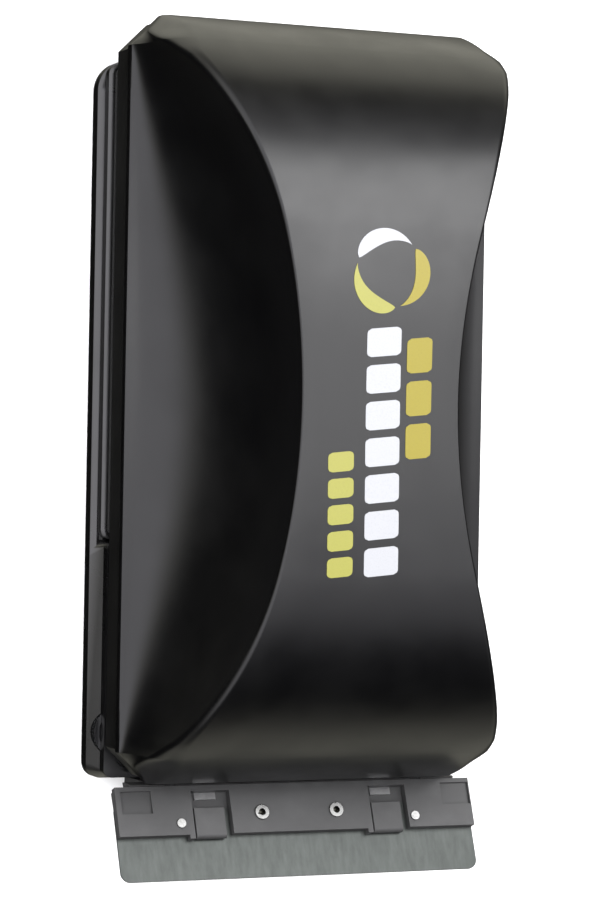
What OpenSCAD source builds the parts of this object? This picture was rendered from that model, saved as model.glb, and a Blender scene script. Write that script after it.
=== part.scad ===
// Magnetic glass cleaner for aquariums: a dry handle outside the glass and a floating wet
// unit inside it, with a replaceable scraper cassette on the end of the wet unit.
// X is the width, Y the length (the blade is at -Y), Z points out of the dry side.
// The cleaner lies on the outer face of its wet unit, at Z = 0.

/* [Handle] */
// Length of the handle
handle_len = 166; // [150:1:180]
// Width of the handle at its lip
handle_w = 85.8; // [84:0.2:90]
// Size of the 45 degree cuts on the four corners
corner_cut = 6.8; // [5:0.2:10]
// Width of the grip deck at its waist
waist_w = 35.6; // [34:0.2:44]
// Width of the deck at its ends
deck_end_w = 74.2; // [72:0.2:80]
// Radius of the hourglass edges of the deck
waist_r = 143; // [130:1:180]
// Height of the deck above the shelf
crest_h = 39.4; // [34:0.2:44]
// Radius of the rolled ends of the deck
end_r = 48; // [44:0.5:52]
// How far the middle of the deck dips
deck_dip = 1; // [0:0.2:2]
// Wall of the handle shell, and height of its lip
shell_wall = 2.4; // [2:0.1:3]

/* [Handle inside] */
// Height of the base pan below the lip
base_h = 8.4; // [7:0.2:10]
// Thickness of the felt that slides on the glass
felt_t = 1.8; // [1:0.2:3]
// Size of one handle magnet across, along and high
dry_magnet = [40, 26, 10]; // [5:1:60]
// Distance between magnet centres
magnet_pitch = 30; // [28:0.5:32]
// Thickness of the steel yoke over the handle magnets
dry_yoke_t = 4; // [2:0.5:5]

/* [Wet unit] */
// Length of the float body
wet_len = 158.5; // [150:0.5:160]
// Width of the float body
wet_w = 88; // [86:0.5:90]
// Radius of the corners of the float body
wet_corner_r = 3.5; // [3:0.5:5]
// Radius of the two corners at its far end
wet_far_r = 7; // [5:0.5:7.5]
// Wall of the float body
wet_wall = 3; // [2.6:0.1:3.2]
// Length of the full-height blade end of the float body
nose_len = 52.5; // [48:0.5:54]
// Thickness of one wet magnet
wet_magnet_t = 4.6; // [3:0.2:5]
// Thickness of the scrub pad
pad_t = 1.4; // [1:0.1:2]
// Travel of a side button
button_travel = 1.5; // [1:0.1:2]

/* [Scraper cassette] */
// Tilt of the blade towards the glass
blade_tilt = 22; // [15:1:26]
// Width of the blade
blade_w = 85; // [80:0.5:86]
// Thickness of the blade
blade_t = 0.5; // [0.4:0.1:0.6]
// Length of blade that stands out of its holder
blade_out = 9.6; // [6:0.2:12]
// Depth of the holder along the blade
holder_s = 11; // [10.8:0.1:12]

/* [Hidden] */

$fn = 48;
eps = 0.01;
cut = 1;                          // how far a cutter runs past the face that it opens

black = [0.09, 0.09, 0.10];
dark_grey = [0.26, 0.26, 0.27];
rubber_grey = [0.16, 0.16, 0.17];
steel = [0.72, 0.74, 0.74];
nickel = [0.80, 0.79, 0.76];

// heights, from the resting face up
glide_t = 0.6;                    // glide strips stand this far out of the body
floor_top = 2.2;
low_wall_top = 6.3;               // rim of the float body beside the cover
groove_h = 0.3;                   // shadow groove under the cover plate
cover_bottom = low_wall_top + groove_h;
cover_top = 9.3;
lid_bottom = 8.8;
nose_top = 10.6;
nose_chamfer = 2.4;               // 45 degree flank along both sides of the nose
pad_top = cover_top + pad_t;
rest_gap = 0.2;                   // between the wet unit and the felt with no glass
felt_bottom = pad_top + rest_gap;
base_bottom = felt_bottom + felt_t;
base_deck = base_bottom + 2;
lip_bottom = base_bottom + base_h;
shelf_z = lip_bottom + shell_wall;

// handle surface
half_len = handle_len / 2;
end_step = 1.5;                   // height of the blunt end above the shelf
end_angle = acos((end_step + end_r - crest_h) / end_r);
roll_y = half_len - end_r * sin(end_angle);
roll_z = shelf_z + crest_h - end_r;
roll_steps = 9;
middle_steps = 8;
scoop_steps = 8;

// wet unit plan, measured from the middle of the handle
wet_y0 = -83.5;
wet_y1 = wet_y0 + wet_len;
nose_y = wet_y0 + nose_len;
seal_in = 1.9;                    // from the outside of the wall to the seal
seal_w = 0.8;
cover_in = 1.45;                  // the cover stands back from the wall, the pad further
neck_in = 1.8;
pad_in = 2.6;
edge_drop = 0.7;                  // the wall's and the cover's outer edges slope down this far
wall_slope = 1.3;                 // over this width
cover_slope = pad_in - cover_in;
wet_yoke_t = 1.2;

// scraper cassette: s runs outwards along the blade, n is normal to it
holder_y = -84;
holder_z = 20.3;
frame_t = 1.9;
clamp_n = 3.9;                    // depth of the clamp plate's thick edge below the frame's top
blade_root_s = 4.8;
blade_tip_s = holder_s + blade_out;
fit_gap = 0.15;
tab_s = [5, 11.9];
window_s0 = 1.2;
tab_x = [[-24.7, -17.6], [17.7, 24.8]];
slot_w = 1.6;                     // open slot on one side of each tab
tab_gap = 0.3;
tab_hinge_r = 0.9;                // rounded root of a tab, and half its thickness
tab_hinge_s = tab_s[1] - tab_hinge_r;
rivet_x = [-8.9, 8.9];
rivet_s = 6.5;
pin_x = [-28, 28];
pin_s = 8.4;
hook_x = [[-23.6, -18.6], [18.6, 23.6]];
hook_end = 2.8;                   // the hooks reach this far under the frame's windows

// side buttons: discs that stand out of the nose's flanks and slide inwards
button_y = -73.2;
button_x = 37.4;
button_r = 5.75;
button_z0 = 5.6;
button_z1 = lid_bottom - 0.2;
button_mid_z = (button_z0 + button_z1) / 2;
button_gap = 0.15;
stem_r = 0.9;
spring_len = 5;
rib_x = button_x - button_r - spring_len;
rib_t = 1.5;
nose_half = wet_w / 2 - wet_wall - nose_chamfer;   // half width inside the nose

// screw places
handle_screw_at = [for (x = [-1, 1]) for (y = [-62, 0, 62]) [x * (y == 0 ? 34 : 36), y]];
cover_screw_at = [for (x = [-36, 36]) for (y = [-24, 67]) [x, y]];
lid_screw_at = [for (x = [-1, 1]) for (p = [[9, -76.3], [34, -38]]) [x * p[0], p[1]]];
mount_screw_x = [-18, 0, 18];
mount_screw_z = 5.6;
screw_r = 1.25;
head_r = 2.6;
head_h = 1.4;
post_r = 3;

magnet_y = [for (i = [-1.5:1:1.5]) i * magnet_pitch];
magnet_row = 3 * magnet_pitch + dry_magnet[1];

// the blade tip and the far end of the handle set the middle of the whole cleaner
tip_y = holder_y - blade_tip_s * cos(blade_tilt);
centre_y = -(tip_y + half_len) / 2;

module place() {
    translate([0, centre_y, 0]) children();
}

// frame of the scraper cassette: children use x, y = -s and z = n
module on_blade() {
    place() translate([0, holder_y, holder_z]) rotate([-blade_tilt, 0, 0]) children();
}

module slab(x, s, n) {
    translate([x[0], -s[1], n[0]]) cube([x[1] - x[0], s[1] - s[0], n[1] - n[0]]);
}

// rectangle with round corners, from corner to corner
module round_rect(x0, x1, y0, y1, r) {
    translate([x0 + r, y0]) square([x1 - x0 - 2 * r, y1 - y0]);
    translate([x0, y0 + r]) square([x1 - x0, y1 - y0 - 2 * r]);
    for (x = [x0 + r, x1 - r]) for (y = [y0 + r, y1 - r]) translate([x, y]) circle(r);
}

module plate(z0, z1) {
    translate([0, 0, z0]) linear_extrude(z1 - z0) children();
}

// plan of the float body, drawn in by some millimetres; its far corners are rounder
module wet_plan(inset, y0 = wet_y0, y1 = wet_y1, far_r = wet_far_r) {
    half = wet_w / 2 - inset;
    intersection() {
        round_rect(-half, half, y0 + inset, y1 + far_r, max(wet_corner_r - inset, 1));
        round_rect(-half, half, y0 - far_r, y1 - inset, max(far_r - inset, 1));
    }
}

// countersunk screw, its head's flat face at z = 0 and its shank below
module screw(length) {
    translate([0, 0, -head_h]) cylinder(h = head_h, r1 = screw_r, r2 = head_r);
    translate([0, 0, -length]) cylinder(h = length - head_h + eps, r = screw_r);
}

module screw_hole(length) {
    translate([0, 0, -head_h]) cylinder(h = head_h + eps, r1 = screw_r, r2 = head_r + eps);
    translate([0, 0, -length]) cylinder(h = length, r = screw_r);
    cylinder(h = cut, r = head_r + eps);
}

// ---- handle ----

// half width of the lip at y, drawn in by some millimetres
function lip_half(y, inset) = min(handle_w / 2 - inset,
    handle_w / 2 + half_len - corner_cut - inset * sqrt(2) - abs(y));

function deck_half(y, inset) = min(lip_half(y, inset), deck_end_w / 2 - inset,
    waist_w / 2 + y * y / (2 * waist_r) - inset);

function deck_z(y, inset) = let (past = max(abs(y) - roll_y, 0), r = end_r - inset)
    roll_z + sqrt(max(r * r - past * past, 0))
    - deck_dip * pow(cos(90 * min(abs(y) / roll_y, 1)), 2);

// half of a cross-section, from the bottom of the lip up the scoop to the deck; the scoop is
// a quarter ellipse that straightens into a plain wall where the deck meets the corner cut
function scoop(y, inset, bottom) = let (b = lip_half(y, inset), a = deck_half(y, inset),
        top = deck_z(y, inset), shelf = shelf_z - inset, curved = min((b - a) / 4, 1))
    concat([[b, bottom]],
        [for (i = [0:scoop_steps]) let (t = 90 * i / scoop_steps,
                rise = curved * (1 - cos(t)) + (1 - curved) * i / scoop_steps)
            [b - (b - a) * sin(t), shelf + (top - shelf) * rise]]);

function stations(inset) = concat(
    [for (i = [roll_steps:-1:1]) -roll_y - (end_r - inset) * sin(end_angle * i / roll_steps)],
    [for (i = [0:middle_steps]) roll_y * (2 * i / middle_steps - 1)],
    [for (i = [1:roll_steps]) roll_y + (end_r - inset) * sin(end_angle * i / roll_steps)]);

function section(y, inset, bottom) = let (half = scoop(y, inset, bottom), n = len(half))
    concat([for (p = half) [p[0], y, p[1]]],
        [for (i = [n - 1:-1:0]) [-half[i][0], y, half[i][1]]]);

module scooped_block(inset, bottom) {
    ys = stations(inset);
    m = 2 * (scoop_steps + 2);
    points = [for (y = ys) each section(y, inset, bottom)];
    last = (len(ys) - 1) * m;
    polyhedron(points, concat(
        [for (k = [0:m / 2 - 2]) each [[k, m - 2 - k, k + 1], [k, m - 1 - k, m - 2 - k]]],
        [for (k = [0:m / 2 - 2]) each [[last + k, last + k + 1, last + m - 2 - k],
            [last + k, last + m - 2 - k, last + m - 1 - k]]],
        [for (j = [0:len(ys) - 2]) for (k = [0:m - 1]) let (q = (k + 1) % m)
            each [[j * m + k, (j + 1) * m + q, (j + 1) * m + k],
                [j * m + k, j * m + q, (j + 1) * m + q]]]));
}

module lip_plan(inset) {
    x = handle_w / 2 - inset;
    y = half_len - inset;
    c = corner_cut - inset * (2 - sqrt(2));
    polygon([[x, y - c], [x - c, y], [c - x, y], [-x, y - c], [-x, c - y], [c - x, -y],
        [x - c, -y], [x, c - y]]);
}

module handle_shell() {
    color(black) place() difference() {
        scooped_block(0, lip_bottom);
        difference() {
            scooped_block(shell_wall, lip_bottom - cut);
            for (p = handle_screw_at) translate([p[0], p[1], lip_bottom - cut])
                cylinder(h = crest_h, r = post_r + 0.6);
        }
        for (p = handle_screw_at) translate([p[0], p[1], base_deck - cut])
            cylinder(h = lip_bottom + 1.8 - base_deck + cut, r = screw_r);
    }
}

// shallow pan that closes the handle; its posts carry the screws up to the shell
module handle_base() {
    color(black) place() difference() {
        union() {
            plate(base_bottom, base_deck) lip_plan(0.9);
            plate(base_bottom, lip_bottom) difference() {
                lip_plan(0.9);
                lip_plan(3.4);
            }
            for (p = handle_screw_at) translate([p[0], p[1], base_deck - eps])
                cylinder(h = lip_bottom - base_deck + eps, r = post_r + 0.6);
        }
        for (p = handle_screw_at) translate([p[0], p[1], base_bottom]) mirror([0, 0, 1])
            screw_hole(base_h + cut);
    }
}

module felt_pad() {
    color([0.05, 0.05, 0.06]) place() plate(felt_bottom, base_bottom) lip_plan(1.6);
}

module handle_magnet_tray() {
    rim = 2;
    color(dark_grey) place() plate(base_deck, base_deck + 4) difference() {
        round_rect(-dry_magnet[0] / 2 - rim, dry_magnet[0] / 2 + rim, -magnet_row / 2 - rim,
            magnet_row / 2 + rim, 2);
        for (y = magnet_y) translate([-dry_magnet[0] / 2, y - dry_magnet[1] / 2])
            square([dry_magnet[0], dry_magnet[1]]);
    }
}

module handle_magnets() {
    color(nickel) place() for (y = magnet_y)
        translate([-dry_magnet[0] / 2, y - dry_magnet[1] / 2, base_deck]) cube(dry_magnet);
}

module handle_yoke() {
    z = base_deck + dry_magnet[2];
    color(steel) place() plate(z, z + dry_yoke_t)
        round_rect(-dry_magnet[0] / 2 - 1, dry_magnet[0] / 2 + 1, -magnet_row / 2,
            magnet_row / 2, 2);
}

module handle_screws() {
    color(steel) place() for (p = handle_screw_at)
        translate([p[0], p[1], base_bottom]) mirror([0, 0, 1]) screw(base_h + 1.5);
}

// ---- wet unit ----

// plan of the nose above its flanks, drawn in on its sides and a little at its end
module nose_plan(inset, y1 = nose_y) {
    round_rect(-wet_w / 2 + inset, wet_w / 2 - inset, wet_y0 + min(inset, 0.5), y1,
        max(wet_corner_r - inset, 2));
}

module float_body() {
    edge = 1.8;
    wall_edge = low_wall_top - edge_drop;
    flank_top = wall_edge + nose_chamfer;
    color(black) place() difference() {
        union() {
            hull() {
                plate(glide_t, glide_t + eps) wet_plan(edge - 0.3, $fn = 32);
                plate(glide_t + edge / 3, glide_t + edge / 3 + eps) wet_plan(0.5, $fn = 32);
                plate(glide_t + edge, glide_t + edge + eps) wet_plan(0, $fn = 32);
            }
            plate(glide_t + edge, wall_edge) wet_plan(0, $fn = 32);
            hull() {
                plate(wall_edge - eps, wall_edge) wet_plan(0, $fn = 32);
                plate(low_wall_top - eps, low_wall_top) wet_plan(wall_slope, $fn = 32);
            }
            hull() {
                plate(wall_edge - eps, wall_edge) nose_plan(0);
                plate(flank_top - eps, flank_top) nose_plan(nose_chamfer);
            }
            plate(flank_top - eps, nose_top) nose_plan(nose_chamfer);
        }
        difference() {
            union() {
                plate(floor_top, nose_top + cut)
                    wet_plan(wet_wall, nose_y + 2 - wet_wall, wet_y1);
                plate(floor_top, nose_top + cut)
                    round_rect(-nose_half, nose_half, wet_y0 + wet_wall, nose_y + 8, 1.5);
            }
            for (p = cover_screw_at) translate([p[0], p[1], 0])
                cylinder(h = cover_bottom, r = post_r);
            for (p = lid_screw_at) translate([p[0], p[1], 0])
                cylinder(h = lid_bottom, r = post_r);
            for (side = [-1, 1]) translate([side * (rib_x - rib_t / 2), button_y, lid_bottom / 2])
                cube([rib_t, 9, lid_bottom], center = true);
        }
        plate(low_wall_top - 1, low_wall_top + eps) seal_plan();
        for (side = [-1, 1]) hull() for (x = [button_x, button_x - button_travel - button_gap])
            translate([side * x, button_y, button_z0 - button_gap])
                cylinder(h = lid_bottom - button_z0 + button_gap, r = button_r + button_gap);
        for (p = cover_screw_at) translate([p[0], p[1], cover_top]) screw_hole(7);
        for (p = lid_screw_at) translate([p[0], p[1], nose_top]) screw_hole(7);
        for (x = mount_screw_x) translate([x, wet_y0 - cut, mount_screw_z]) rotate([-90, 0, 0])
            cylinder(h = wet_wall + 2 * cut, r = screw_r);
        plate(0, glide_t + 0.5) glide_plan();
    }
}

module seal_plan() {
    intersection() {
        difference() {
            wet_plan(seal_in);
            wet_plan(seal_in + seal_w);
        }
        translate([-wet_w, nose_y + 0.1]) square([2 * wet_w, wet_len]);
    }
}

// lid of the float chamber: a neck inside the groove, a plate, and a pocket for the magnets
module float_cover() {
    y0 = nose_y + 0.3;
    color(black) place() difference() {
        union() {
            plate(low_wall_top, cover_bottom + eps)
                wet_plan(neck_in, y0 - neck_in, wet_y1, wet_corner_r);
            hull() {
                plate(cover_bottom, cover_top - edge_drop)
                    wet_plan(cover_in, y0 - cover_in, wet_y1, wet_corner_r, $fn = 32);
                plate(cover_top - eps, cover_top) wet_plan(cover_in + cover_slope,
                    y0 - cover_in, wet_y1, wet_corner_r, $fn = 32);
            }
        }
        plate(low_wall_top - cut, cover_bottom) wet_plan(3.6, y0 - wet_wall - cut, wet_y1);
        translate([-dry_magnet[0] / 2 - 0.5, y0 - cut, low_wall_top])
            cube([dry_magnet[0] + 1, magnet_row / 2 - y0 + 1.5,
                floor_top + wet_yoke_t + wet_magnet_t + 0.2 - low_wall_top]);
        for (p = cover_screw_at) translate([p[0], p[1], cover_top]) screw_hole(7);
    }
}

module front_lid() {
    gap = 0.1;
    color(black) place() difference() {
        plate(lid_bottom, nose_top) round_rect(-nose_half + gap, nose_half - gap,
            wet_y0 + wet_wall + gap, nose_y, 1.5 + gap);
        for (p = lid_screw_at) translate([p[0], p[1], nose_top]) screw_hole(7);
    }
}

module cover_seal() {
    color(rubber_grey) place() plate(low_wall_top - 1, low_wall_top) seal_plan();
}

// closed-cell foam that fills the chamber round the magnets and keeps the wet unit afloat
module float_core() {
    gap = 0.3;
    color([0.85, 0.85, 0.8]) place() difference() {
        plate(floor_top, cover_bottom - 0.2)
            round_rect(-nose_half + 0.4, nose_half - 0.4, button_y + 8,
                wet_y1 - wet_wall - 0.8, 3);
        translate([-dry_magnet[0] / 2 - 1.4, -magnet_row / 2 - 0.4, 0])
            cube([dry_magnet[0] + 2.8, magnet_row + 0.8, nose_top]);
        for (p = concat(cover_screw_at, lid_screw_at)) translate([p[0], p[1], 0])
            cylinder(h = nose_top, r = post_r + gap);
    }
}

module wet_yoke() {
    color(steel) place() plate(floor_top, floor_top + wet_yoke_t)
        round_rect(-dry_magnet[0] / 2 - 1, dry_magnet[0] / 2 + 1, -magnet_row / 2,
            magnet_row / 2, 2);
}

module wet_magnets() {
    color(nickel) place() for (y = magnet_y)
        translate([-dry_magnet[0] / 2, y - dry_magnet[1] / 2, floor_top + wet_yoke_t])
            cube([dry_magnet[0], dry_magnet[1], wet_magnet_t]);
}

module scrub_pad() {
    color([0.06, 0.06, 0.06]) place() plate(cover_top, pad_top)
        wet_plan(pad_in, nose_y + 1.5 - pad_in, wet_y1, wet_corner_r);
}

module glide_plan() {
    for (side = [-1, 1]) round_rect(side * 35 - 3.5, side * 35 + 3.5, -66, 60, 3.4);
}

module glide_strips() {
    color(dark_grey) place() plate(0, glide_t + 0.5) glide_plan();
}

module cover_screws() {
    color(steel) place() {
        for (p = cover_screw_at) translate([p[0], p[1], cover_top]) screw(6.5);
        for (p = lid_screw_at) translate([p[0], p[1], nose_top]) screw(6.5);
    }
}

// bracket that carries the cassette past the end of the handle
module blade_mount() {
    n = [sin(blade_tilt), cos(blade_tilt)];
    u = [-cos(blade_tilt), sin(blade_tilt)];
    back_top = holder_z - 0.6;
    top = [holder_y, holder_z] - fit_gap * u;
    low = top - clamp_n * n;
    color(dark_grey) difference() {
        union() {
            place() rotate([90, 0, 90]) translate([0, 0, -34]) linear_extrude(68)
                polygon([[wet_y0, 3], [wet_y0, back_top], top, low, [-88, holder_z - 5.8],
                    [-88, 5], [-86.5, 3]]);
            place() rotate([90, 0, 90]) translate([0, 0, -39]) linear_extrude(78)
                polygon([[wet_y0, holder_z - 4.9], [wet_y0, back_top], top, low]);
        }
        on_blade() for (x = [-29.5, 0, 29.5]) slab([x - 1.2, x + 1.2], [-2, 0], [-0.9, 1]);
        on_blade() hooks();
        place() for (x = mount_screw_x) translate([x, wet_y0 + cut, mount_screw_z])
            rotate([90, 0, 0]) cylinder(h = 4.2, r = screw_r);
    }
}

module mount_screws() {
    color(steel) place() for (x = mount_screw_x)
        translate([x, wet_y0 + wet_wall, mount_screw_z]) rotate([90, 0, 0]) {
            translate([0, 0, -head_h]) cylinder(h = head_h, r = head_r);
            cylinder(h = wet_wall + 3, r = screw_r);
        }
}

module hooks() {
    for (x = hook_x) slab(x, [-1.3, hook_end], [-frame_t - blade_t + 0.05, -frame_t - 0.05]);
}

module cassette_hooks() {
    color(steel) on_blade() hooks();
}

// one turn of the wire ring, at an angle along the coil
function coil_ring(a, coil_r, wire_r, pitch, sides) =
    [for (k = [0:sides - 1]) let (b = 360 * k / sides, r = coil_r + wire_r * cos(b))
        [r * cos(a), r * sin(a), pitch * a / 360 + wire_r * sin(b)]];

module coil(coil_r, wire_r, length, turns) {
    sides = 6;
    per_turn = 9;
    rings = turns * per_turn;
    pitch = (length - 2 * wire_r) / turns;
    points = [for (i = [0:rings])
        each coil_ring(360 * i / per_turn, coil_r, wire_r, pitch, sides)];
    translate([0, 0, wire_r]) polyhedron(points, concat(
        [[for (k = [0:sides - 1]) k]],
        [[for (k = [sides - 1:-1:0]) rings * sides + k]],
        [for (i = [0:rings - 1]) for (k = [0:sides - 1]) let (q = (k + 1) % sides)
            each [[i * sides + k, (i + 1) * sides + k, (i + 1) * sides + q],
                [i * sides + k, (i + 1) * sides + q, i * sides + q]]]));
}

module button_spring(side) {
    color(steel) place() translate([side * rib_x, button_y, button_mid_z])
        rotate([0, side * 90, 0]) coil(1.3, 0.25, spring_len, 5);
}

module button_spring_left() { button_spring(-1); }

module button_spring_right() { button_spring(1); }

// disc with a shallow dish on top, and a stem inside the spring
module release_button(side) {
    color(dark_grey) place() translate([side * button_x, button_y, 0]) difference() {
        union() {
            translate([0, 0, button_z0]) cylinder(h = button_z1 - button_z0, r = button_r);
            translate([0, 0, button_mid_z]) rotate([0, -side * 90, 0])
                cylinder(h = button_r + spring_len - button_travel - 0.3, r = stem_r);
        }
        translate([0, 0, button_z1 - 0.5]) cylinder(h = cut, r = button_r - 1);
    }
}

module release_button_left() { release_button(-1); }

module release_button_right() { release_button(1); }

// ---- scraper cassette ----

module through_holes(r, xs, s) {
    for (x = xs) translate([x, -s, -10]) cylinder(h = 20, r = r);
}

module cassette_frame() {
    half = blade_w / 2;
    color(dark_grey) on_blade() difference() {
        union() {
            slab([-half, half], [0, holder_s], [-frame_t, 0]);
            for (x = tab_x) slab([x[0] - 1.6, x[1] + slot_w], [holder_s - 2, tab_s[1]],
                [-frame_t, 0]);
        }
        for (x = tab_x) slab([x[0] - tab_gap, x[1] + slot_w], [window_s0, tab_s[1] + cut],
            [-frame_t - cut, cut]);
        for (x = [[-41.2, -34.3], [35.3, 42.2]]) slab(x, [1, 6], [-0.7, cut]);
        through_holes(1.1, rivet_x, rivet_s);
        through_holes(1.1, pin_x, pin_s);
    }
}

module clamp_plate() {
    half = blade_w / 2 - 0.5;
    color(dark_grey) on_blade() difference() {
        rotate([90, 0, 90]) translate([0, 0, -half]) linear_extrude(2 * half)
            polygon([[-0.3, -frame_t - blade_t], [-0.3, -clamp_n],
                [-holder_s + 0.8, -3], [-holder_s + 0.4, -frame_t - blade_t]]);
        through_holes(1.1, rivet_x, rivet_s);
        through_holes(1.1, pin_x, pin_s);
    }
}

module scraper_blade() {
    half = blade_w / 2;
    r = 2.2;
    color([0.60, 0.63, 0.61]) on_blade() difference() {
        translate([0, 0, -frame_t - blade_t]) linear_extrude(blade_t) {
            translate([-half, -blade_tip_s + r])
                square([blade_w, blade_tip_s - blade_root_s - r]);
            translate([-half + r, -blade_tip_s]) square([blade_w - 2 * r, 2 * r]);
            for (x = [-half + r, half - r]) translate([x, -blade_tip_s + r]) circle(r);
        }
        through_holes(1.1, rivet_x, rivet_s);
        through_holes(1.1, pin_x, pin_s);
    }
}

// hollow rivets, rolled over on both faces
module tube_rivets() {
    color(nickel) on_blade() for (x = rivet_x) translate([x, -rivet_s, 0]) difference() {
        union() {
            translate([0, 0, -3.7]) cylinder(h = 3.7 + eps, r = 1.1);
            cylinder(h = 0.45, r = 1.7);
        }
        translate([0, 0, -5]) cylinder(h = 6, r = 0.7);
    }
}

module locating_pins() {
    color(nickel) on_blade() for (x = pin_x) translate([x, -pin_s, -3.2])
        cylinder(h = 3.5, r = 1.1);
}

module snap_tab(x) {
    color(dark_grey) on_blade() {
        slab(x, [tab_s[0], tab_hinge_s], [-2 * tab_hinge_r, 0]);
        translate([x[0], -tab_hinge_s, -tab_hinge_r]) rotate([0, 90, 0])
            cylinder(h = x[1] - x[0], r = tab_hinge_r);
    }
}

module snap_tab_left() { snap_tab(tab_x[0]); }

module snap_tab_right() { snap_tab(tab_x[1]); }

handle_shell();
handle_base();
felt_pad();
handle_magnet_tray();
handle_magnets();
handle_yoke();
handle_screws();
float_body();
float_cover();
front_lid();
cover_seal();
float_core();
wet_yoke();
wet_magnets();
scrub_pad();
glide_strips();
cover_screws();
blade_mount();
mount_screws();
cassette_hooks();
button_spring_left();
button_spring_right();
release_button_left();
release_button_right();
cassette_frame();
clamp_plate();
scraper_blade();
tube_rivets();
locating_pins();
snap_tab_left();
snap_tab_right();
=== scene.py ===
"""Magnetic glass cleaner lying on its wet unit: looks, floor, lights and camera.

Lengths in the helpers are in millimetres, measured from the middle of the handle, as in the
part's source; place() turns them into metres in the row frame.
"""

import math

import bmesh
import bpy
from mathutils import Matrix, Vector

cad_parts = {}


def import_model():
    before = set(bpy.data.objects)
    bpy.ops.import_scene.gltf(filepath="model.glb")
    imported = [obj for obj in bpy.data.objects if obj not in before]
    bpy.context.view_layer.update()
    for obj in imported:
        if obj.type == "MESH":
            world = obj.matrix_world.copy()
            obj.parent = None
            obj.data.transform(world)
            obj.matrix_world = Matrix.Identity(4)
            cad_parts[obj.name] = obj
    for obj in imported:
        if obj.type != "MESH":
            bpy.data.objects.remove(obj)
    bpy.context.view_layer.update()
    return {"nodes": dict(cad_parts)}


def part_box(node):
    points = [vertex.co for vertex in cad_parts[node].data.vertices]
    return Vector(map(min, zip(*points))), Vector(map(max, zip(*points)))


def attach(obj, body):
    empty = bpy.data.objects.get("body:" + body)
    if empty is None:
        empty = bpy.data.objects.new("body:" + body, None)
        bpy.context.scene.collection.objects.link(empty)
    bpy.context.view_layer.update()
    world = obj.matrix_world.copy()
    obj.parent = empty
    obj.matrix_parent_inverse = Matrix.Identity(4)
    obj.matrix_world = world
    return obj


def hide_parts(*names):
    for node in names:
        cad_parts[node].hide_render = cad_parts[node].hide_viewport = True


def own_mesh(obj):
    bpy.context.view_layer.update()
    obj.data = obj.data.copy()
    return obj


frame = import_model()

MM = 0.001
CAD = frame["nodes"]

# The middle of the handle and the heights of its layers, read from the CAD.
shell_lo, shell_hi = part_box("handle_shell")
CENTRE_Y = (shell_lo.y + shell_hi.y) / 2 / MM
LIP_BOTTOM = shell_lo.z / MM
HALF_W = shell_hi.x / MM
HALF_LEN = (shell_hi.y - shell_lo.y) / 2 / MM

# The handle's law, as in the part's source except where a comment says so.
WALL = 2.4
CORNER_CUT = 6.8
WAIST_HALF = 17.8
END_HALF = 37.1
END_PULL, END_PULL_Y = 2.4, 62.0    # not in the source: the deck edge drawn in at the ends
WAIST_R = 143.0
CREST_H = 39.4
END_R = 48.0
DECK_DIP = 0.45                     # shallower than in the source
END_STEP = 1.5
SHELF_Z = LIP_BOTTOM + WALL

# How finely the handle is drawn.
SCOOP_STEPS = 30
INNER_STEPS = 8
FILLET_STEPS = 7
ROLL_STEPS = 40
MIDDLE_STEPS = 36
DECK_COLUMNS = 7

# Edges of the handle: small rounds at the lip, and a rim that widens towards the ends.
EDGE_R = 0.45
RIM_SIZE, RIM_GROWTH = 0.5, 3.8
RIM_OUTSIDE = 0.55                  # share of the rim that lies outside the deck edge
RIM_SHARE, RIM_LEAST = 0.25, 0.25   # share of the height left above the shelf, and the least
FLARE_FROM, FLARE_TO = 66.0, 79.2   # where the rim widens further, to meet the corner cut
FLARE_SHARE = 0.6

# Springs behind the buttons.
BUTTON_Y, BUTTON_Z = -73.2, 7.1
SPRING_END, SPRING_LEN, COIL_R, WIRE_R = 26.65, 5.0, 1.3, 0.25
TURNS, STEPS_PER_TURN, WIRE_SIDES = 5, 20, 8

# Printed marks: how far they reach into the deck and stand above it.
PRINT_SUNK, PRINT_TOP = 0.03, 0.11
EMBLEM_X, EMBLEM_Y, EMBLEM_R, EMBLEM_WIDTH, EMBLEM_SWEEP = 1.2, 27.3, 7.6, 3.4, -110
DASH_SLANT, DASH_CORNER = 0.1, 1.0

# Edge rounding of the CAD nodes that stay visible, in millimetres.
ROUNDING = {
    "handle_base": 0.3, "float_cover": 0.35, "front_lid": 0.3, "float_body": 0.35,
    "blade_mount": 0.3, "cassette_frame": 0.18, "clamp_plate": 0.2, "snap_tab_left": 0.15,
    "snap_tab_right": 0.15, "scrub_pad": 0.3, "felt_pad": 0.3, "glide_strips": 0.25,
    "tube_rivets": 0.12, "locating_pins": 0.12, "release_button_left": 0.25,
    "release_button_right": 0.25,
}

# How bright the surroundings are, by where they lie.
SKY, SKY_LEFT, SKY_LOW, SKY_HIGH = 1.28, 1.9, 0.13, 0.75
FAR_DIM, NEAR_DIM = 0.8, 0.03
FAR_LEFT_LIFT = 0.2
FAR_FLOOR, NEAR_FLOOR = 1.35, 0.75

# The stage, in metres.
FLOOR_HALF, FLOOR_Z = 3.0, -0.0002
WALL_RADIUS, WALL_FOOT, WALL_TOP, WALL_SIDES = 2.8, -0.001, 2.4, 48

# The camera. Its place was fitted to the object's proportions in perspective.
THETA, PHI, ROLL = math.radians(23.11), math.radians(-0.005), math.radians(1.052)
DISTANCE = 657.8
LOOK_AT = (-4.47, -10.35, 30.0)
SENSOR, LENS = 36.0, 120.676

ROLL_Z = SHELF_Z + CREST_H - END_R
END_ANGLE = math.acos((END_STEP + END_R - CREST_H) / END_R)
ROLL_Y = HALF_LEN - END_R * math.sin(END_ANGLE)


def place(p):
    """Handle-centred millimetres to row-frame metres."""
    return Vector((p[0], p[1] + CENTRE_Y, p[2])) * MM


# ---------------------------------------------------------------- materials

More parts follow.
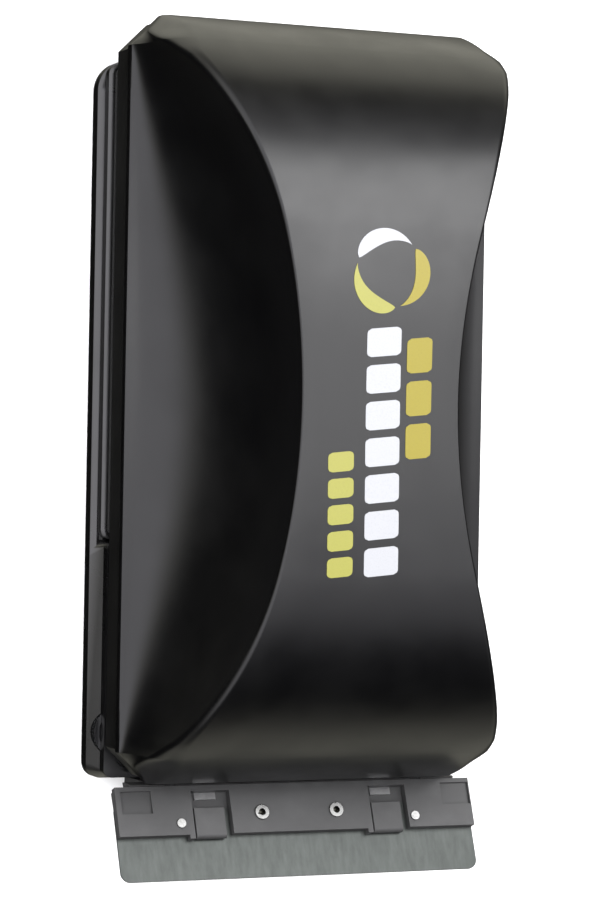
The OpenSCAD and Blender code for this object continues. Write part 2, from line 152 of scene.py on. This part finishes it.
def principled(name, colour, roughness, metallic=0.0, specular=0.5):
    mat = bpy.data.materials.new(name)
    mat.use_nodes = True
    mat.diffuse_color = (*colour, 1)
    shader = mat.node_tree.nodes["Principled BSDF"]
    shader.inputs["Base Color"].default_value = (*colour, 1)
    shader.inputs["Roughness"].default_value = roughness
    shader.inputs["Metallic"].default_value = metallic
    shader.inputs["Specular IOR Level"].default_value = specular
    return mat, shader


def noise(mat, size_mm, detail=3.0, stretch=(1, 1, 1), roughness=0.55):
    """A noise texture whose features are about size_mm across; stretch makes them longer."""
    nodes, links = mat.node_tree.nodes, mat.node_tree.links
    where = nodes.new("ShaderNodeTexCoord")
    scale = nodes.new("ShaderNodeMapping")
    scale.inputs["Scale"].default_value = [1 / (size_mm * MM * s) for s in stretch]
    tex = nodes.new("ShaderNodeTexNoise")
    tex.inputs["Scale"].default_value = 1.0
    tex.inputs["Detail"].default_value = detail
    tex.inputs["Roughness"].default_value = roughness
    links.new(where.outputs["Object"], scale.inputs["Vector"])
    links.new(scale.outputs["Vector"], tex.inputs["Vector"])
    return tex.outputs["Fac"]


def remap(mat, value, lo, hi, from_lo=0.3, from_hi=0.7):
    node = mat.node_tree.nodes.new("ShaderNodeMapRange")
    node.inputs["From Min"].default_value = from_lo
    node.inputs["From Max"].default_value = from_hi
    node.inputs["To Min"].default_value = lo
    node.inputs["To Max"].default_value = hi
    mat.node_tree.links.new(value, node.inputs["Value"])
    return node.outputs["Result"]


def bump(mat, shader, height, depth_mm, strength=1.0, after=None):
    node = mat.node_tree.nodes.new("ShaderNodeBump")
    node.inputs["Distance"].default_value = depth_mm * MM
    node.inputs["Strength"].default_value = strength
    mat.node_tree.links.new(height, node.inputs["Height"])
    if after:
        mat.node_tree.links.new(after, node.inputs["Normal"])
    mat.node_tree.links.new(node.outputs["Normal"], shader.inputs["Normal"])
    return node.outputs["Normal"]


def mixed_colour(mat, shader, fac, dark, light):
    node = mat.node_tree.nodes.new("ShaderNodeMix")
    node.data_type = "RGBA"
    node.inputs["A"].default_value = (*dark, 1)
    node.inputs["B"].default_value = (*light, 1)
    mat.node_tree.links.new(fac, node.inputs["Factor"])
    mat.node_tree.links.new(node.outputs["Result"], shader.inputs["Base Color"])


def scaled(colour, k):
    return tuple(c * k for c in colour)


def moulded(name, colour, roughness, grain_mm, grain_depth, spread=0.05, specular=0.5,
            edge=1.6):
    """Moulded plastic: fine spark texture, cloudy gloss, and a painted highlight that makes
    convex edges a little paler, broken up by noise.
    """
    mat, shader = principled(name, colour, roughness, specular=specular)
    # The last two numbers bound the pointiness that gets the painted edge highlight; the second
    # gives the size of the noise that breaks it up.
    cloud_mm, highlight_breakup_mm, highlight_from, highlight_to = 14, 3.5, 0.505, 0.56
    cloud = noise(mat, cloud_mm, detail=4)
    mat.node_tree.links.new(remap(mat, cloud, roughness - spread, roughness + spread),
                            shader.inputs["Roughness"])
    nodes, links = mat.node_tree.nodes, mat.node_tree.links
    geometry = nodes.new("ShaderNodeNewGeometry")
    # Painted highlight: convex edges, found by the mesh's pointiness, are made paler by the
    # factor edge, broken up by noise.
    painted_highlight_edges = remap(mat, geometry.outputs["Pointiness"], 0, 1, highlight_from, highlight_to)
    breakup = remap(mat, noise(mat, highlight_breakup_mm, detail=5), 0.2, 1)
    painted_highlight_mask = nodes.new("ShaderNodeMath")
    painted_highlight_mask.operation = "MULTIPLY"
    links.new(painted_highlight_edges, painted_highlight_mask.inputs[0])
    links.new(breakup, painted_highlight_mask.inputs[1])
    mixed_colour(mat, shader, painted_highlight_mask.outputs["Value"], colour, scaled(colour, edge))
    bump(mat, shader, noise(mat, grain_mm, detail=4, roughness=0.7), grain_depth)
    return mat


def metal(name, colour, roughness, stretch=(1, 1, 1), grain_mm=0.5, depth=0.004, spread=0.08):
    """Metal with fine lines along the stretch, and slow changes of tone over them."""
    mat, shader = principled(name, colour, roughness, metallic=1.0)
    lines = noise(mat, grain_mm, detail=5, stretch=stretch)
    mat.node_tree.links.new(remap(mat, lines, roughness - spread, roughness + spread),
                            shader.inputs["Roughness"])
    mixed_colour(mat, shader, remap(mat, noise(mat, grain_mm * 6, detail=4, stretch=stretch),
                                    0, 1), scaled(colour, 0.86), scaled(colour, 1.1))
    bump(mat, shader, lines, depth)
    return mat


def fibrous(name, colour, fibre_mm, depth, sheen):
    """Pressed fibre: fine strands over coarser lumps, with a little sheen."""
    mat, shader = principled(name, colour, 0.95, specular=0.15)
    fine = noise(mat, fibre_mm, detail=6, roughness=0.75)
    mixed_colour(mat, shader, remap(mat, fine, 0, 1), scaled(colour, 0.4), scaled(colour, 2.2))
    first = bump(mat, shader, noise(mat, fibre_mm * 6, detail=3), depth * 2, 0.6)
    bump(mat, shader, fine, depth, 1.0, after=first)
    shader.inputs["Sheen Weight"].default_value = sheen
    shader.inputs["Sheen Roughness"].default_value = 0.6
    return mat


def foam():
    """Pale foam with closed cells."""
    cells_per_metre = 1400
    mat, shader = principled("closed_cell_foam", (0.70, 0.70, 0.66), 0.85, specular=0.3)
    cells = mat.node_tree.nodes.new("ShaderNodeTexVoronoi")
    where = mat.node_tree.nodes.new("ShaderNodeTexCoord")
    cells.inputs["Scale"].default_value = cells_per_metre
    mat.node_tree.links.new(where.outputs["Object"], cells.inputs["Vector"])
    bump(mat, shader, cells.outputs["Distance"], 0.12)
    mixed_colour(mat, shader, remap(mat, noise(mat, 6), 0, 1), (0.62, 0.62, 0.58),
                 (0.76, 0.76, 0.72))
    return mat


def ink(name, colour):
    """Printed ink with fine specks."""
    mat, shader = principled(name, colour, 0.38)
    speck = noise(mat, 0.35, detail=5, roughness=0.7)
    mixed_colour(mat, shader, remap(mat, speck, 0, 1, 0.25, 0.5), scaled(colour, 0.86), colour)
    bump(mat, shader, speck, 0.006)
    return mat


MATERIALS = {
    "shell_plastic": moulded("black_satin_abs", (0.0008, 0.0008, 0.0010), 0.33, 0.30, 0.006),
    "base_plastic": moulded("black_matte_abs", (0.0008, 0.0008, 0.0009), 0.5, 0.35, 0.012),
    "felt": fibrous("short_black_felt", (0.002, 0.002, 0.0023), 0.12, 0.25, 0.05),
    "inner_plastic": moulded("inner_grey_plastic", (0.05, 0.05, 0.055), 0.55, 0.4, 0.01),
    "magnet": metal("nickel_plate", (0.66, 0.64, 0.60), 0.24, grain_mm=0.6),
    "yoke_steel": metal("zinc_plate", (0.52, 0.53, 0.55), 0.42, grain_mm=1.6, spread=0.12),
    "screw_steel": metal("machined_stainless", (0.28, 0.28, 0.28), 0.36, grain_mm=0.25),
    "float_plastic": moulded("dark_semi_gloss_abs", (0.0012, 0.0012, 0.0013), 0.30, 0.4, 0.006,
                             specular=0.9),
    "seal_rubber": moulded("soft_rubber", (0.016, 0.016, 0.016), 0.7, 0.5, 0.02, edge=1.0),
    "foam": foam(),
    "scrub_fibre": fibrous("coarse_scrub_fibre", (0.0025, 0.0025, 0.0028), 0.3, 0.5, 0.04),
    "glide_plastic": moulded("low_friction_plastic", (0.07, 0.07, 0.073), 0.35, 0.5, 0.006),
    "cassette_plastic": moulded("dark_grey_moulding", (0.023, 0.023, 0.0232), 0.52, 0.28,
                                0.014, spread=0.06),
    "button_plastic": moulded("button_plastic", (0.006, 0.006, 0.0065), 0.2, 0.4, 0.004,
                              specular=1.0),
    "blade_steel": metal("brushed_blade_steel", (0.074, 0.080, 0.076), 0.48,
                         stretch=(1, 5, 2), grain_mm=0.2, depth=0.0012, spread=0.03),
    "rivet_steel": metal("polished_stainless", (0.17, 0.17, 0.167), 0.24, grain_mm=0.3),
    "print_white": ink("white_ink", (0.27, 0.275, 0.29)),
    "print_yellow": ink("yellow_ink", (0.165, 0.136, 0.005)),
}
PALE_YELLOW = ink("pale_yellow_ink", (0.19, 0.185, 0.032))


# ---------------------------------------------------------------- meshes

def finish_piece(obj, body, slot, smooth_angle=35):
    """Material, smooth shading up to an angle, and the body that the piece rides on."""
    obj.data.materials.clear()
    obj.data.materials.append(MATERIALS[slot])
    for p in obj.data.polygons:
        p.use_smooth = True
    obj.data.set_sharp_from_angle(angle=math.radians(smooth_angle))
    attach(obj, body)
    return obj


def mesh_piece(name, points, faces):
    """A new object from handle-centred millimetre points."""
    mesh = bpy.data.meshes.new(name)
    mesh.from_pydata([place(p) for p in points], [], faces)
    mesh.validate()
    obj = bpy.data.objects.new(name, mesh)
    bpy.context.scene.collection.objects.link(obj)
    bm = bmesh.new()
    bm.from_mesh(mesh)
    bmesh.ops.remove_doubles(bm, verts=bm.verts, dist=1e-6)
    bmesh.ops.recalc_face_normals(bm, faces=bm.faces)
    bm.to_mesh(mesh)
    bm.free()
    return obj


def lip_half(y, inset=0.0):
    """Half width at the lip, with its corners cut at 45 degrees."""
    return min(HALF_W - inset, HALF_W + HALF_LEN - CORNER_CUT - inset * math.sqrt(2) - abs(y))


def deck_half(y, inset=0.0):
    """Half width of the deck: waisted in the middle, drawn in a little at the ends."""
    past = max(abs(y) - END_PULL_Y, 0) / (HALF_LEN - END_PULL_Y)
    pulled = END_HALF - END_PULL * past ** 2
    return min(lip_half(y, inset), pulled - inset, WAIST_HALF + y * y / (2 * WAIST_R) - inset)


def deck_z(y, inset=0.0):
    """Height of the deck: dipped in the middle, rolling down to the ends."""
    past = max(abs(y) - ROLL_Y, 0)
    r = END_R - inset
    return (ROLL_Z + math.sqrt(max(r * r - past * past, 0))
            - DECK_DIP * math.cos(math.pi / 2 * min(abs(y) / ROLL_Y, 1)) ** 2)


def arc(cx, cz, r, a0, a1, n):
    """Points on a circle from a0 to a1 degrees."""
    return [(cx + r * math.cos(math.radians(a0 + (a1 - a0) * i / n)),
             cz + r * math.sin(math.radians(a0 + (a1 - a0) * i / n))) for i in range(n + 1)]


def outer_profile(y):
    """Half cross-section of the handle's outside at y, from the lip's foot to the deck edge."""
    b, a, top = lip_half(y), deck_half(y), deck_z(y)
    flare = min(max((abs(y) - FLARE_FROM) / (FLARE_TO - FLARE_FROM), 0), 1) ** 2
    height = max(top - SHELF_Z, 1)
    spread = RIM_SIZE + RIM_GROWTH * (abs(y) / HALF_LEN) ** 3
    fillet = min(spread * (1 + 2 * flare),
                 max(RIM_LEAST, height * (RIM_SHARE + FLARE_SHARE * flare)))
    spread = min(spread, max(RIM_LEAST, height * RIM_SHARE))
    a_in = a - (1 - RIM_OUTSIDE) * spread
    a_out = min(a + max(RIM_OUTSIDE * spread, (b - a) * flare), b - 0.02)
    foot = arc(b - EDGE_R, LIP_BOTTOM + EDGE_R, EDGE_R, -60, 0, 3)
    shoulder = [(b, SHELF_Z - EDGE_R)]
    curved = min((b - a_out) / 4, 1)
    rim = top - fillet
    scoop = []
    for i in range(SCOOP_STEPS + 1):
        t = math.pi / 2 * i / SCOOP_STEPS
        rise = curved * (1 - math.cos(t)) + (1 - curved) * i / SCOOP_STEPS
        scoop.append((b - (b - a_out) * math.sin(t), SHELF_Z + (rim - SHELF_Z) * rise))
    soft = min(EDGE_R, (b - a_out) * 0.3)
    scoop[0] = (b - soft * 0.3, SHELF_Z - soft * 0.3)
    # The rim is round along the sides, and halfway to a flat chamfer in the corners.
    round_over = []
    for i in range(1, FILLET_STEPS + 1):
        t, flat = math.pi / 2 * i / FILLET_STEPS, i / FILLET_STEPS
        along = math.cos(t) + (1 - flat - math.cos(t)) * 0.5 * flare
        rise = math.sin(t) + (flat - math.sin(t)) * 0.5 * flare
        round_over.append((a_in + along * (a_out - a_in), rim + rise * fillet))
    return foot + shoulder + scoop + round_over


def inner_profile(y):
    """Half cross-section of the hollow inside, from the lip's foot to the deck's edge."""
    b, a, top = lip_half(y, WALL), deck_half(y, WALL), deck_z(y, WALL)
    shelf = SHELF_Z - WALL
    curved = min((b - a) / 4, 1)
    points = [(b, LIP_BOTTOM)]
    for i in range(INNER_STEPS + 1):
        t = math.pi / 2 * i / INNER_STEPS
        rise = curved * (1 - math.cos(t)) + (1 - curved) * i / INNER_STEPS
        points.append((b - (b - a) * math.sin(t), max(shelf + (top - shelf) * rise,
                                                      LIP_BOTTOM + 0.01)))
    return points


def loft(profiles, ys, deck_columns):
    """Skin over half profiles mirrored in X, closed across the deck by some columns."""
    points, faces = [], []
    half = len(profiles[0])
    width = 2 * half + deck_columns
    for y, profile in zip(ys, profiles):
        x_edge, z_edge = profile[-1]
        deck = [(x_edge * (1 - 2 * (k + 1) / (deck_columns + 1)), z_edge)
                for k in range(deck_columns)]
        row = profile + deck + [(-x, z) for x, z in reversed(profile)]
        points += [(x, y, z) for x, z in row]
    for j in range(len(ys) - 1):
        for k in range(width - 1):
            faces.append((j * width + k, j * width + k + 1,
                          (j + 1) * width + k + 1, (j + 1) * width + k))
    return points, faces, width


def handle_moulding():
    """The handle's shell with its rolled deck, rounded rims and hollow inside."""
    roll = [ROLL_Y + END_R * math.sin(END_ANGLE * i / ROLL_STEPS)
            for i in range(1, ROLL_STEPS + 1)]
    knee = HALF_LEN - CORNER_CUT
    roll = sorted(set(round(v, 4) for v in roll + [knee, HALF_LEN - 0.25]))
    middle = [ROLL_Y * (2 * i / MIDDLE_STEPS - 1) for i in range(MIDDLE_STEPS + 1)]
    ys = [-v for v in reversed(roll)] + middle + roll
    outer, outer_faces, width = loft([outer_profile(y) for y in ys], ys, DECK_COLUMNS)
    inner_half = HALF_LEN - WALL
    inner_ys = [-inner_half] + [y for y in ys if abs(y) < inner_half - 0.3] + [inner_half]
    inner, inner_faces, inner_width = loft([inner_profile(y) for y in inner_ys], inner_ys, 1)
    shift = len(outer)
    points = outer + inner
    faces = outer_faces + [tuple(shift + i for i in f) for f in inner_faces]
    last = (len(ys) - 1) * width
    faces.append(tuple(range(width)))
    faces.append(tuple(last + i for i in range(width)))
    inner_last = shift + (len(inner_ys) - 1) * inner_width
    faces.append(tuple(shift + i for i in range(inner_width)))
    faces.append(tuple(inner_last + i for i in range(inner_width)))
    return mesh_piece("handle_moulding", points, faces)


def soften(node, width_mm, segments=2, angle=38):
    """Rounds a CAD node's edges with modifiers; its mesh stays as it is."""
    obj = CAD[node]
    weld = obj.modifiers.new("weld", "WELD")
    weld.merge_threshold = 1e-6
    flat = obj.modifiers.new("flat", "DECIMATE")
    flat.decimate_type = "DISSOLVE"
    flat.angle_limit = math.radians(0.5)
    round_off = obj.modifiers.new("round", "BEVEL")
    round_off.width = width_mm * MM
    round_off.segments = segments
    round_off.limit_method = "ANGLE"
    round_off.angle_limit = math.radians(angle)
    round_off.use_clamp_overlap = True
    even = obj.modifiers.new("even", "WEIGHTED_NORMAL")
    even.mode = "FACE_AREA"
    even.weight = 80
    for p in obj.data.polygons:
        p.use_smooth = True


# ---------------------------------------------------------------- build

for name, obj in CAD.items():
    slot_name = obj.data.materials[0].name.split(".")[0]
    obj.data.materials[0] = MATERIALS[slot_name]

shell = finish_piece(handle_moulding(), "handle", "shell_plastic")
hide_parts("handle_shell")

# ---------------------------------------------------------------- springs behind the buttons


def coil_spring(side_name, side):
    """Wound spring from its rib to the button."""
    points, faces = [], []
    steps, sides = TURNS * STEPS_PER_TURN, WIRE_SIDES
    for i in range(steps + 1):
        a = 2 * math.pi * i / STEPS_PER_TURN
        along = SPRING_END + WIRE_R + (SPRING_LEN - 2 * WIRE_R) * i / steps
        for k in range(sides):
            b = 2 * math.pi * k / sides
            r = COIL_R + WIRE_R * math.cos(b)
            points.append((side * (along + WIRE_R * math.sin(b)), BUTTON_Y + r * math.cos(a),
                           BUTTON_Z + r * math.sin(a)))
    for i in range(steps):
        for k in range(sides):
            n = (k + 1) % sides
            faces.append((i * sides + k, i * sides + n, (i + 1) * sides + n,
                          (i + 1) * sides + k))
    faces.append(tuple(range(sides)))
    faces.append(tuple(steps * sides + k for k in range(sides)))
    spring = finish_piece(mesh_piece("coil_spring_" + side_name, points, faces), "wet_unit",
                          "screw_steel", 60)
    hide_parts("button_spring_" + side_name)
    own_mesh(spring)


coil_spring("left", -1)
coil_spring("right", 1)

# ---------------------------------------------------------------- printed marks on the deck


def printed(name, outline_of, columns, rows, slot, material=None):
    """A thin print on the deck. outline_of(u, v) gives x, y for u along and v across."""
    points, faces = [], []
    for level in (-PRINT_SUNK, PRINT_TOP):
        for i in range(columns + 1):
            for j in range(rows + 1):
                x, y = outline_of(i / columns, j / rows)
                points.append((x, y, deck_z(y) + level))
    layer = (columns + 1) * (rows + 1)
    for base in (0, layer):
        for i in range(columns):
            for j in range(rows):
                q = base + i * (rows + 1) + j
                faces.append((q, q + 1, q + rows + 2, q + rows + 1))
    for i in range(columns):
        for j in (0, rows):
            q = i * (rows + 1) + j
            faces.append((q, q + rows + 1, q + rows + 1 + layer, q + layer))
    for j in range(rows):
        for i in (0, columns):
            q = i * (rows + 1) + j
            faces.append((q, q + 1, q + 1 + layer, q + layer))
    obj = mesh_piece(name, points, faces)
    finish_piece(obj, "handle", slot)
    if material:
        obj.data.materials[0] = material
    return obj


def dash(x0, x1, y0, y1):
    """Slanted block from y0 to y1 with round corners."""
    def outline(u, v):
        y = y0 + (y1 - y0) * u
        end = min(abs(y - y0), abs(y1 - y), DASH_CORNER) / DASH_CORNER
        pulled = DASH_CORNER * (1 - math.sqrt(max(1 - (1 - end) ** 2, 0)))
        x = x0 + pulled + (x1 - x0 - 2 * pulled) * v
        return x, y + DASH_SLANT * (x - (x0 + x1) / 2)
    return outline


def swoosh(start):
    """Crescent along part of the emblem's ring, fuller towards its first end."""
    def outline(u, v):
        a = math.radians(start + EMBLEM_SWEEP * u)
        width = EMBLEM_WIDTH * max(math.sin(math.pi * u ** 0.7), 0.02)
        r = EMBLEM_R + width * (v - 0.5)
        return EMBLEM_X + r * math.cos(a), EMBLEM_Y + r * math.sin(a)
    return outline


def row_of_dashes(name, x0, x1, y0, y1, count, gap, slot, material=None):
    """Blocks of equal length from y0 towards y1, between x0 and x1."""
    step = (y1 - y0) / count
    for k in range(count):
        printed(f"{name}_{k + 1}", dash(x0, x1, y0 + k * step, y0 + (k + 1) * step - gap),
                16, 4, slot, material)


printed("mark_white_swoosh", swoosh(160), 40, 3, "print_white")
printed("mark_yellow_swoosh", swoosh(40), 40, 3, "print_yellow")
printed("mark_pale_swoosh", swoosh(280), 40, 3, "print_yellow", PALE_YELLOW)
row_of_dashes("mark_white_dash", -3.6, 4.2, 15.5, -38, 7, -1.7, "print_white")
row_of_dashes("mark_yellow_dash", 5.6, 11.4, 13.6, -13.4, 3, -1.7, "print_yellow")
row_of_dashes("mark_pale_dash", -12.0, -6.2, -10.6, -38, 5, -1.4, "print_yellow",
              PALE_YELLOW)

# ---------------------------------------------------------------- CAD nodes kept

for node, width in ROUNDING.items():
    soften(node, width)

# ---------------------------------------------------------------- floor, lights, camera


def area_light(name, position, target, along_y, across, watts):
    """Rectangular light with one pair of sides parallel to Y."""
    data = bpy.data.lights.new(name, "AREA")
    data.shape = "RECTANGLE"
    data.size, data.size_y = along_y, across
    data.energy = watts
    obj = bpy.data.objects.new(name, data)
    bpy.context.scene.collection.objects.link(obj)
    away = (Vector(position) - Vector(target)).normalized()
    side = (Vector((0, 1, 0)) - away * away.y).normalized()
    obj.matrix_world = Matrix.Translation(position) @ Matrix(
        (side, away.cross(side), away)).transposed().to_4x4()
    obj.visible_camera = False
    return obj


def staged(name, points, faces, material_name, grey, cloud_mm):
    """A matt pale surface that isn't part of the object, out of sight of reflections."""
    mesh = bpy.data.meshes.new(name)
    mesh.from_pydata(points, [], faces)
    obj = bpy.data.objects.new(name, mesh)
    bpy.context.scene.collection.objects.link(obj)
    mat, shader = principled(material_name, (grey,) * 3, 0.9, specular=0.1)
    mixed_colour(mat, shader, remap(mat, noise(mat, cloud_mm, detail=2), 0, 1),
                 (grey - 0.01,) * 3, (grey + 0.01,) * 3)
    mesh.materials.append(mat)
    obj.visible_glossy = False
    return obj, shader


def floor():
    """A plain pale floor just under the object."""
    corners = [(sx * FLOOR_HALF, sy * FLOOR_HALF, FLOOR_Z)
               for sx, sy in ((-1, -1), (1, -1), (1, 1), (-1, 1))]
    obj, _ = staged("floor", corners, [(0, 1, 2, 3)], "pale_floor", 0.86, 60)


def backdrop():
    """A pale wall round the floor. It is only there to be seen, and lights nothing."""
    turns = [2 * math.pi * k / WALL_SIDES for k in range(WALL_SIDES)]
    points = [(WALL_RADIUS * math.cos(a), WALL_RADIUS * math.sin(a), z)
              for z in (WALL_FOOT, WALL_TOP) for a in turns]
    faces = [(k, (k + 1) % WALL_SIDES, WALL_SIDES + (k + 1) % WALL_SIDES, WALL_SIDES + k)
             for k in range(WALL_SIDES)]
    obj, shader = staged("backdrop", points, faces, "pale_wall", 0.8, 400)
    shader.inputs["Emission Color"].default_value = (1, 1, 1, 1)
    shader.inputs["Emission Strength"].default_value = 0.85
    obj.visible_diffuse = obj.visible_shadow = False


def world():
    """Studio surroundings by direction: pale above, dark towards -Y and low on the sides."""
    scene_world = bpy.data.worlds.new("studio")
    bpy.context.scene.world = scene_world
    scene_world.use_nodes = True
    tree = scene_world.node_tree
    background = tree.nodes["Background"]
    where = tree.nodes.new("ShaderNodeTexCoord")
    split = tree.nodes.new("ShaderNodeSeparateXYZ")
    tree.links.new(where.outputs["Generated"], split.inputs["Vector"])

    def ramp(value, from_lo, from_hi, to_lo, to_hi):
        node = tree.nodes.new("ShaderNodeMapRange")
        node.interpolation_type = "SMOOTHSTEP"
        for key, number in (("From Min", from_lo), ("From Max", from_hi),
                            ("To Min", to_lo), ("To Max", to_hi)):
            node.inputs[key].default_value = number
        tree.links.new(value, node.inputs["Value"])
        return node.outputs["Result"]

    def combine(kind, a, b):
        node = tree.nodes.new("ShaderNodeMath")
        node.operation = kind
        for k, value in enumerate((a, b)):
            if isinstance(value, float):
                node.inputs[k].default_value = value
            else:
                tree.links.new(value, node.inputs[k])
        return node.outputs["Value"]

    x, y, z = (split.outputs[k] for k in "XYZ")
    far_left = combine("MULTIPLY", ramp(y, 0.0, 0.35, 0.0, FAR_LEFT_LIFT),
                       ramp(x, -0.5, -0.1, 1.0, 0.0))
    sky = combine("MULTIPLY", ramp(combine("ADD", z, far_left), SKY_LOW, SKY_HIGH, 0.01, SKY),
                  ramp(x, -0.1, 0.4, SKY_LEFT, 1.0))
    far_dip = ramp(y, 0.3, 0.62, 1.0, FAR_DIM)
    near_dip = ramp(combine("ADD", y, ramp(x, -0.6, 0.2, 0.5, 0.0)), -0.62, -0.3, NEAR_DIM, 1.0)
    near_falloff = ramp(y, -0.3, 0.05, 0.82, 1.0)
    upper = combine("MULTIPLY", combine("MULTIPLY", sky, far_dip),
                    combine("MULTIPLY", near_dip, near_falloff))
    far_floor = ramp(y, 0.3, 0.75, 0.01, FAR_FLOOR)
    near_floor = ramp(y, -0.75, -0.35, NEAR_FLOOR, 0.0)
    lower = combine("ADD", far_floor, near_floor)
    side = ramp(z, -0.06, 0.06, 0.0, 1.0)
    total = combine("ADD", combine("MULTIPLY", upper, side),
                    combine("MULTIPLY", lower, combine("SUBTRACT", 1.0, side)))
    tree.links.new(total, background.inputs["Strength"])
    tint = tree.nodes.new("ShaderNodeMix")
    tint.data_type = "RGBA"
    tint.inputs["A"].default_value = (1.0, 0.98, 0.84, 1)
    tint.inputs["B"].default_value = (0.96, 0.95, 1.0, 1)
    tree.links.new(ramp(z, 0.0, 0.7, 0.0, 1.0), tint.inputs["Factor"])
    tree.links.new(tint.outputs["Result"], background.inputs["Color"])


floor()
backdrop()
world()
area_light("overhead", (0.140, 0.180, 0.36), (0.010, 0.180, 0.06), 0.30, 0.30, 1.58)
wash = area_light("floor_wash", (-0.6, -0.1, 1.2), (0, 0, 0), 1.6, 1.6, 36.0)
wash.visible_glossy = False

# The camera looks down from the left, turned by THETA about the object's length.
right = Vector((math.cos(THETA), 0, math.sin(THETA)))
back = Vector((-math.sin(THETA) * math.cos(PHI), math.sin(PHI),
               math.cos(THETA) * math.cos(PHI)))
up = back.cross(right)
across = right * math.cos(ROLL) + up * math.sin(ROLL)
above = up * math.cos(ROLL) - right * math.sin(ROLL)
camera_data = bpy.data.cameras.new("camera")
camera_data.sensor_fit = "VERTICAL"
camera_data.sensor_height = SENSOR
camera_data.sensor_width = SENSOR
camera_data.lens = LENS
camera_data.clip_start, camera_data.clip_end = 0.05, 20
camera = bpy.data.objects.new("camera", camera_data)
bpy.context.scene.collection.objects.link(camera)
spot = place(LOOK_AT) + back * DISTANCE * MM
camera.matrix_world = Matrix.Translation(spot) @ Matrix(
    (across, above, back)).transposed().to_4x4()
bpy.context.scene.camera = camera

view = bpy.context.scene.view_settings
view.view_transform = "Standard"
view.look = "None"
view.exposure = 0.0
